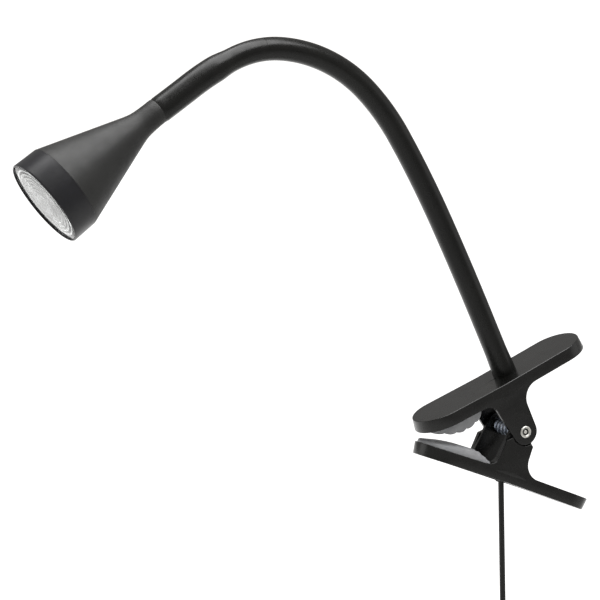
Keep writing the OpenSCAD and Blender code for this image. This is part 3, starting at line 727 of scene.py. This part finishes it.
upper_ears = [ear_mesh(full_ear(9.2, *UPPER_EAR, 31.5), y * EAR_IN, y * EAR_OUT, 1) for y in (-1, 1)]
make("jaw_upper", join(plate_mesh(1), *upper_ears), satin_abs, "upper_jaw", ["upper_jaw"])
lower_ears = []
for y in (-1, 1):
    lower_ears.append(ear_mesh(notched_ear(9.9, *LOWER_EAR, 31.5), y * (LUG_OUT - 0.4), y * EAR_OUT, -1))
    lower_ears.append(ear_mesh(full_ear(9.2, *LOWER_EAR, 30.0), y * LUG_IN, y * LUG_OUT, -1, 0.3, False))
make("jaw_lower", join(plate_mesh(-1), *lower_ears), satin_abs, "lower_jaw", ["lower_jaw"])

# %% [markdown]
# ## The pads
# Grey rubber pads fill the fronts of both jaws. The upper one has round teeth with sharp
# valleys between them, which stop a shelf edge from sliding out; the lower one is a smooth
# cushion with a faint ripple near the pivot. Each is a grid over the pad's plan, with its
# height worked out point by point, and closed by a flat back.

# %% Pad shape
PAD_R = 17.4
UPPER_CROWN = [
    (-61.4, 27.4), (-60, 26.2), (-57, 24.7), (-53, 22.6), (-49, 20.9), (-45, 19.5), (-40, 18.5), (-35, 18.4),
    (-30, 19.3), (-27, 20.2), (-24, 22.4), (-22, 26.0), (-21, 28.2),
]
LOWER_CROWN = [
    (-64, 27.8), (-63, 26.6), (-61, 25.8), (-55, 25.1), (-50, 24.3), (-45, 23.4), (-38, 22.4), (-32, 22.0),
    (-27, 22.7), (-20, 25.5), (-16, 27.9), (-14.6, 28.6),
]


def through(points, at):
    """The height of a line through points, straight between each pair."""
    for (a, low), (b, high) in zip(points, points[1:]):
        if at <= b:
            return low + (high - low) * min(max((at - a) / (b - a), 0.0), 1.0)
    return points[-1][1]


def scallop(s, first, pitch):
    """Round teeth with sharp valleys between them, from 0 on a crest to 1 in a valley."""
    return 1 - abs(math.sin(math.pi * (s - first) / pitch)) ** 0.6


def upper_pad_height(s):
    return min(through(UPPER_CROWN, s) + 1.4 * scallop(s, -52.3, 7.7), 28.3)


def lower_pad_height(s):
    return through(LOWER_CROWN, s) + 0.8 * scallop(s, -52.3, 4.6) * ease((s + 42) / 12)


def pad_mesh(side, height_at, s_from, s_to, tip_r):
    """A crowned strip: rows along the jaw, columns across it, closed underneath."""
    rows, columns, back_h = 200, 30, 30.5
    tops, unders = [], []
    for i in range(rows + 1):
        s = s_from + (s_to - s_from) * i / rows
        reach = TIP_S - s
        half = math.sqrt(max(tip_r**2 - max(reach, 0.0) ** 2, 0.6))
        for j in range(columns + 1):
            across = math.sin(math.pi * (j / columns - 0.5))
            crown = max(1 - abs(across) ** 18, 0.0) ** 0.5
            h = 28.9 + (height_at(s) - 28.9) * crown
            tops.append(from_jaw(s, across * half, h, side))
            unders.append(from_jaw(s, across * half, back_h, side))
    width = columns + 1
    count = len(tops)
    faces = []
    for i in range(rows):
        for j in range(columns):
            a = i * width + j
            quad = (a, a + 1, a + width + 1, a + width)
            faces += [quad, tuple(count + v for v in reversed(quad))]
    border = list(range(width)) + [i * width + columns for i in range(1, rows + 1)]
    border += [rows * width + j for j in range(columns - 1, -1, -1)]
    border += [i * width for i in range(rows - 1, 0, -1)]
    for a, b in zip(border, border[1:] + border[:1]):
        faces.append((b, a, count + a, count + b))
    return tops + unders, faces


make(
    "pad_toothed", pad_mesh(1, upper_pad_height, -60.0, -21.2, PAD_R - 1.4),
    pad_rubber, "upper_jaw", ["upper_pad"], crease=60,
)
make(
    "pad_smooth", pad_mesh(-1, lower_pad_height, -63.6, -14.4, PAD_R + 2.3),
    pad_rubber, "lower_jaw", ["lower_pad"], crease=60,
)

# %% [markdown]
# ## The rivet
# A semi-tubular rivet holds the jaws: its ends are rolled over into a small bright ring round
# a hollow. It could be a cylinder with a bevelled edge, but the lathe follows the rolled lip.

# %% Rivet
RIVET_END = 22.25


def rivet_profile():
    half = [
        (0.05, 21.7), (0.7, 21.65), (1.2, 21.4), (1.5, 20.9), (2.0, 20.8), (2.3, 21.1), (2.6, 21.8),
        (2.9, RIVET_END - 0.1), (3.4, RIVET_END), (3.8, RIVET_END - 0.15), (4.1, RIVET_END - 0.5),
        (4.1, 21.5), (3.9, 21.3), (3.05, 21.28), (3.0, 20.9),
    ]
    return half + [(r, -z) for r, z in reversed(half)]


rivet_place = Matrix.Translation((PIVOT_X, 0, 0)) @ Matrix.Rotation(math.radians(90), 4, "X")
make(
    "rivet", lathe(rivet_profile(), 64), nickel_steel, "lower_jaw", ["pivot_rivet"],
    rivet_place,
)

# %% [markdown]
# ## The torsion spring
# Round the rivet sits a torsion spring of open turns, whose two legs push the handles apart.
# The wire is one sweep along a leg, a helix and the other leg. The real spring twists when
# the clamp opens; here its mesh is fixed in the lamp's frame and rides on neither jaw.

# %% Torsion spring
WIRE_R, COIL_R, SPRING_HALF, SPRING_TURNS = 1.0, 5.2, 13.6, 6
SPRING_FOOT = 35.2


def spring_line():
    """The wire's middle line, from the lower leg's foot to the upper one's."""
    leg = [(PIVOT_X - 1.2, SPRING_FOOT), (PIVOT_X + 1.0, 24), (PIVOT_X + 3.4, 12)]
    line = [(x, -SPRING_HALF, -z) for x, z in leg]
    steps = SPRING_TURNS * 28
    for i in range(steps + 1):
        angle = 2 * math.pi * SPRING_TURNS * i / steps
        y = SPRING_HALF * (2 * i / steps - 1)
        line.append((PIVOT_X + COIL_R * math.cos(angle), y, COIL_R * math.sin(angle)))
    return line + [(x, SPRING_HALF, z) for x, z in reversed(leg)]


spring = make(
    "spring_wire", sweep(spring_line(), WIRE_R, 14), zinc_wire, None, ["torsion_spring"]
)
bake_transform(spring)

# %% [markdown]
# The lead inside the clamp runs from the neck's fitting, behind the spring, to the hole in the
# lower plate. It flexes when the clamp opens; here it is fixed in the lamp's frame and rides on
# neither jaw.

# %% Inner lead and the bush in the lower plate
LEAD = [
    (51.6, 0, 24), (52.6, 0, 20), (54.6, 0, 16.5), (58, 0, 13), (61.4, 0, 9), (63.6, 0, 4),
    (64, 0, -1), (63.2, 0, -6), (61, 0, -11), (57, 0, -15.4), (52.6, 0, -18.8), (49.2, 0, -22),
    (47.4, 0, -25.4), (47, 0, -29), (47, 0, -33), (47, 0, EXIT_Z),
]


def smooth_line(points, parts=5):
    """More points on a smooth curve through the given ones."""
    line = []
    for i in range(len(points) - 1):
        p = [Vector(points[min(max(i + k, 0), len(points) - 1)]) for k in (-1, 0, 1, 2)]
        for j in range(parts):
            t = j / parts
            line.append(
                0.5 * (2 * p[1] + (p[2] - p[0]) * t + (2 * p[0] - 5 * p[1] + 4 * p[2] - p[3]) * t**2
                       + (3 * p[1] - p[0] - 3 * p[2] + p[3]) * t**3)
            )
    return line + [Vector(points[-1])]


lead = make("lead_in_clamp", sweep(smooth_line(LEAD), 1.7, 14), cord_pvc, None, ["inner_lead"])
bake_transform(lead)
BUSH = [(2.1, -27.6), (3.9, -27.6), (3.95, -34.2), (3.9, -36.0), (3.5, -36.75), (2.6, -36.9), (2.1, -36.5)]
make(
    "cord_bush", lathe(BUSH, 48, loop=True), cord_pvc, "lower_jaw", ["cord_grommet"],
    Matrix.Translation((CORD_X, 0, 0)),
)

# %% [markdown]
# ## The neck
# A wound steel hose in a black silicone sleeve. It is one smooth tube, so its line is worked
# out as a chain of arcs, each flowing into the next. The engineering model can't bend a hose,
# so it has six small joints along it. The sleeve is therefore made as six lengths that meet in
# the middle of the rigid parts, each over the one joint that it crosses, so that the neck is one
# unbroken tube at rest. The lengths are fixed in the lamp's frame and don't follow the joints.

# %% The neck's line
NECK_FOOT, NECK_HEADING = Vector((51.36, 0, 38.3)), 113.2
# each arc is a length in millimetres and a turn in degrees
ARCS = [
    (44, 0), (72, 1.8), (38, 2.6), (32, 2.7), (38, 13.4),
    (36, 20.7), (34, 19.8), (34, 27.9), (36, 11.6), (28, -1.2),
]
NECK_LENGTH = sum(length for length, turn in ARCS)


def neck_point(distance):
    """The neck's middle line at a distance from the clamp."""
    point, heading = NECK_FOOT.copy(), NECK_HEADING
    for length, turn in ARCS:
        step = min(max(distance, 0.0), length)
        swung = turn * step / length
        half = math.radians(swung / 2)
        chord = step * math.sin(half) / half if half else step
        along = math.radians(heading + swung / 2)
        point = point + Vector((math.cos(along), 0, math.sin(along))) * chord
        heading += swung
        distance -= length
        if distance <= 0:
            break
    return point


def sleeve_radius(distance):
    """A plain tube, flared at its foot, thicker before the head, and rounded at its end."""
    foot = 0.55 * (1 - ease(distance / 20))
    collar = 1.1 * ease((distance - (NECK_LENGTH - 61)) / 14)
    end = 0.35 * max(0.0, 1 - (NECK_LENGTH - distance) / 0.8) ** 2
    return 7.8 + foot + collar - end


JOINTS_AT = [50, 112, 176, 210, 276, 338]
MEETS_AT = [0, 81, 144, 193, 243, 307, NECK_LENGTH]
SWING = [30, 30, 16.5, 16.5, 30, 24]


def neck_lengths(label, start, end, material, node_stem, radius_at, bore, ring_gap):
    """Tube lengths along the neck from start to end, each over one joint; the span round the joint is worked
    out but not used.
    """
    made = 0
    last = len(JOINTS_AT) - 1
    for i, joint_at in enumerate(JOINTS_AT):
        low, high = max(MEETS_AT[i], start), MEETS_AT[i + 1] if i < last else end
        count = max(int((high - low) / ring_gap), 4)
        at = [low + (high - low) * k / count for k in range(count + 1)]
        names = [f"{node_stem}{i}"] + ([f"{node_stem}{last + 1}"] if i == last else [])
        shape = sweep([neck_point(d) for d in at], [radius_at(d) for d in at], 48, bore)
        tube = make(f"{label}_{i + 1}", shape, material, None, names)
        bend_from, bend_to = neck_point(joint_at - SWING[i]), neck_point(joint_at + SWING[i])
        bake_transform(tube)
        made += len(tube.data.vertices)
    return made


made = neck_lengths(
    "sleeve", 0, NECK_LENGTH, sleeve_rubber, "sleeve_", sleeve_radius, 5.6, 2.0
)
print("neck length", NECK_LENGTH, "mm; sleeve corners", made)

# %% [markdown]
# Inside the sleeve the hose is a strip of steel wound into close ridges about 2.2 mm apart. It
# can't be seen in use, but it is what lets the neck bend and stay.

# %% The wound hose
HOSE_PITCH = 2.2


def hose_radius(distance):
    """The wound strip's ridges."""
    return 5.05 + 0.25 * math.cos(2 * math.pi * distance / HOSE_PITCH)


made = neck_lengths(
    "hose_wound", 14, NECK_LENGTH - 24, zinc_steel, "hose_", hose_radius, 2.0, HOSE_PITCH / 4
)
print("hose corners", made)

# %% [markdown]
# ## The head
# The shade is spun or drawn steel, powder coated; in front of it is a moulded ring that holds
# the lens. Both are turned shapes, so both come from the lathe. The fine line between them,
# and the small radius on every edge, matter more to the eye than the cone itself.

# %% Head shape
HEAD_FRONT = Vector((-280.3, 0, 175.0))
HEAD_HEADING = math.radians(34.8)
RING_LENGTH, HEAD_LENGTH = 17.5, 97.5


def head_matrix():
    """Z runs from the head's front face back along its axis."""
    back = Vector((math.cos(HEAD_HEADING), 0, math.sin(HEAD_HEADING)))
    side = Vector((0, 1, 0))
    return Matrix.Translation(HEAD_FRONT) @ Matrix((side.cross(back), side, back)).transposed().to_4x4()


head_place = head_matrix()
shade_profile = [
    (27.9, RING_LENGTH + 4), (27.9, RING_LENGTH + 0.05),
    (29.72, RING_LENGTH + 0.03), (29.8, RING_LENGTH + 0.12),
    (20.0, 47.7), (10.9, 75.6), (9.95, 78.9), (9.42, 81.4), (9.08, 84.4), (8.85, 88),
    (8.72, 92), (8.7, 96.6), (8.5, HEAD_LENGTH - 0.2), (6.1, HEAD_LENGTH), (6.0, HEAD_LENGTH - 8),
    (7.2, 80), (9.1, 75), (18.6, 46), (27.2, RING_LENGTH + 4.2),
]
make(
    "shade_turned", lathe(shade_profile, 128, loop=True), shade_coat, "head", ["shade"],
    head_place,
)
ring_profile = [
    (29.25, 1.3), (29.25, 0.4), (29.35, 0.12), (29.5, 0.0),
    (29.8, 0.02), (30.15, 0.18), (30.38, 0.6), (30.4, 1.2),
    (29.92, RING_LENGTH - 0.12), (29.8, RING_LENGTH), (27.8, RING_LENGTH), (27.8, RING_LENGTH + 3.8),
    (26.9, RING_LENGTH + 3.8), (26.9, 4.6), (28.0, 3.6), (28.4, 3.4),
]
make(
    "ring_moulded", lathe(ring_profile, 128, loop=True), ring_abs, "head", ["front_ring"],
    head_place,
)

# %% [markdown]
# ## Lens and reflector
# Behind a clear lens with moulded rings sits a reflector: a faceted cup, coated bright in a
# vacuum. Facets break the LED's image up so that the light falls evenly; to the eye they are
# what makes the front glitter in greys. The facets are real flat faces in a lattice, not a
# bump, so that they catch the light one by one.

# %% Lens, reflector and chip
lens_profile = [(0.05, 0.35), (10.0, 0.35), (20.0, 0.36), (28.8, 0.4), (29.2, 0.8), (29.2, 3.2)]
for k in range(9):
    r = 27.0 - 3.0 * k
    lens_profile += [(r, 3.2), (r - 0.9, 3.55), (r - 1.8, 3.55), (r - 2.6, 3.2)]
lens_profile += [(0.05, 3.3)]
make("lens_clear", lathe(lens_profile, 96), lens_acrylic, "head", ["lens"], head_place, 50)


def reflector_mesh():
    """Rings of flat facets, each ring turned half a facet from the last, and a plain back."""
    facets, rings = 26, []
    for k in range(8):
        t = k / 7
        r, z = 27.2 - 15.0 * t**0.9, 4.4 + 17.0 * t**1.15
        shift = 0.5 * (k % 2)
        angles = [2 * math.pi * (j + shift) / facets for j in range(facets)]
        rings.append([(r * math.cos(a), r * math.sin(a), z) for a in angles])
    corners, faces = [c for ring in rings for c in ring], []
    for i in range(7):
        a, b = i * facets, (i + 1) * facets
        for j in range(facets):
            m = (j + 1) % facets
            if i % 2 == 0:
                faces += [(a + j, a + m, b + j), (a + m, b + m, b + j)]
            else:
                faces += [(a + j, b + m, b + j), (a + j, a + m, b + m)]
    start = len(corners)
    corners += [(x, y, z + 0.9) for x, y, z in rings[-1] + rings[0]]
    for j in range(facets):
        m = (j + 1) % facets
        last = 7 * facets
        faces.append((last + j, last + m, start + m, start + j))
        faces.append((start + j, start + m, start + facets + m, start + facets + j))
        faces.append((start + facets + j, start + facets + m, m, j))
    return corners, faces


make(
    "reflector_faceted", reflector_mesh(), mirror_coat, "head", ["reflector"],
    head_place, 2,
)
CHIP = [(0.05, 20.6), (4.2, 20.65), (5.0, 20.9), (5.4, 21.3), (5.4, 22.0), (0.05, 22.0)]
make("led_gel", lathe(CHIP, 48), phosphor, "head", ["led_chip"], head_place)

# %% [markdown]
# ## The parts that keep their engineering shape
# Nuts, boards, the heat sink and screws are already right as they are. They only get a
# finish, so that nothing in the lamp is left a plain colour.

# %% Finishes for the carried-over parts
carried = {
    "base_nipple": zinc_steel, "base_washer": zinc_steel, "base_nut": zinc_steel, "neck_ferrule": zinc_steel,
    "board_screws": zinc_steel, "switch_screws": zinc_steel, "rocker_pin": zinc_steel,
    "led_board": white_mask,
    "heat_sink": cast_alloy, "driver_board": green_mask, "driver_transformer": ferrite,
}
for node_name, material in carried.items():
    for place in frame["nodes"][node_name].material_slots:
        place.material = material
print("carried over:", len(carried))

# %% [markdown]
# ## Floor
# A lamp in a small studio stands before a wide sheet of matt pale paper. Here the sheet lies
# well below the lamp. It glows a little more the farther back it is, as a lit backdrop does,
# so that the ground behind a black lamp is clean and even. A curved backdrop would do the
# same, but a flat sheet with a slow ramp of glow has no seam to hide.

# %% Floor
GLOW_FROM, GLOW_FULL = -0.3, 2.0
FLOOR_Z = -0.75
floor_material, floor_tree, floor_shader, floor_place = new_material("matt_paper_sheet", Roughness=0.9)
fibre = add(floor_tree, "ShaderNodeTexNoise", {"Vector": floor_place, "Scale": 40.0, "Detail": 3.0})
paper = ramp(floor_tree, fibre.outputs[0], srgb("#e0e0df"), srgb("#e6e6e5"))
floor_tree.links.new(paper, floor_shader.inputs["Base Color"])
depth = add(floor_tree, "ShaderNodeSeparateXYZ", {"Vector": floor_place}).outputs["Y"]
glow = add(
    floor_tree, "ShaderNodeMapRange",
    {"Value": depth, "From Min": GLOW_FROM, "From Max": GLOW_FULL, "To Min": 0.0, "To Max": 1.0},
    interpolation_type="SMOOTHSTEP",
)
floor_tree.links.new(glow.outputs[0], floor_shader.inputs["Emission Strength"])
floor_shader.inputs["Emission Color"].default_value = (1, 1, 1, 1)
half_floor = 14.0
floor_mesh = bpy.data.meshes.new("floor")
sheet_corners = [(x * half_floor, y * half_floor, FLOOR_Z) for x, y in ((-1, -1), (1, -1), (1, 1), (-1, 1))]
floor_mesh.from_pydata(sheet_corners, [], [(0, 1, 2, 3)])
floor_mesh.materials.append(floor_material)
floor = bpy.data.objects.new("floor", floor_mesh)
bpy.context.scene.collection.objects.link(floor)
print("floor", 2 * half_floor, "m wide at", FLOOR_Z, "m")

# %% [markdown]
# ## Lights
# Three softboxes do the drawing: one above, which puts the long highlight on the neck and the
# shade, and two weak ones, behind on the left and in front on the right. Black plastic shows
# little but what it mirrors, so the world matters too: dim all round, so that the blacks stay
# black, and bright in one low band behind the lamp, so that the ground stays pale above the
# floor's far edge and surfaces seen at a glancing angle have something to mirror.

# %% Lights


def softbox(name, place, target, width, height, power):
    """A rectangular light of a size in metres and a power in watts, aimed at a target."""
    data = bpy.data.lights.new(name, "AREA")
    data.shape, data.size, data.size_y, data.energy = "RECTANGLE", width, height, power
    light = bpy.data.objects.new(name, data)
    bpy.context.scene.collection.objects.link(light)
    light.location = place
    light.rotation_euler = (Vector(target) - Vector(place)).to_track_quat("-Z", "Y").to_euler()


CENTRE = (-0.1, 0.0, 0.1)
ROOM_LEVEL = 0.35
softbox("soft_above", (0.05, -0.25, 1.8), CENTRE, 1.2, 2.4, 46)
softbox("soft_left", (-1.9, 1.1, 0.7), CENTRE, 1.2, 1.6, 5)
softbox("soft_right", (1.9, -0.8, 0.3), CENTRE, 1.2, 1.6, 2.5)
world = bpy.data.worlds.new("studio")
bpy.context.scene.world = world
world.use_nodes = True
world_tree = world.node_tree
direction = add(world_tree, "ShaderNodeTexCoord").outputs["Generated"]
towards = add(world_tree, "ShaderNodeSeparateXYZ", {"Vector": direction})
back_only = add(
    world_tree, "ShaderNodeMapRange",
    {"Value": towards.outputs["Y"], "From Min": 0.7, "From Max": 0.84, "To Max": 0.8},
)
low_only = add(
    world_tree, "ShaderNodeMapRange",
    {"Value": towards.outputs["Z"], "From Min": 0.12, "From Max": 0.04, "To Min": 0.0},
)
glowing = add(
    world_tree, "ShaderNodeMath", {0: back_only.outputs[0], 1: low_only.outputs[0]}, operation="MULTIPLY"
)
level = add(world_tree, "ShaderNodeMath", {0: glowing.outputs[0], 1: ROOM_LEVEL}, operation="ADD")
world_tree.links.new(level.outputs[0], world_tree.nodes["Background"].inputs["Strength"])
world_tree.nodes["Background"].inputs["Color"].default_value = (1.0, 0.985, 0.965, 1)
bpy.context.scene.view_settings.view_transform = "Standard"
print("lights:", len(bpy.data.lights))
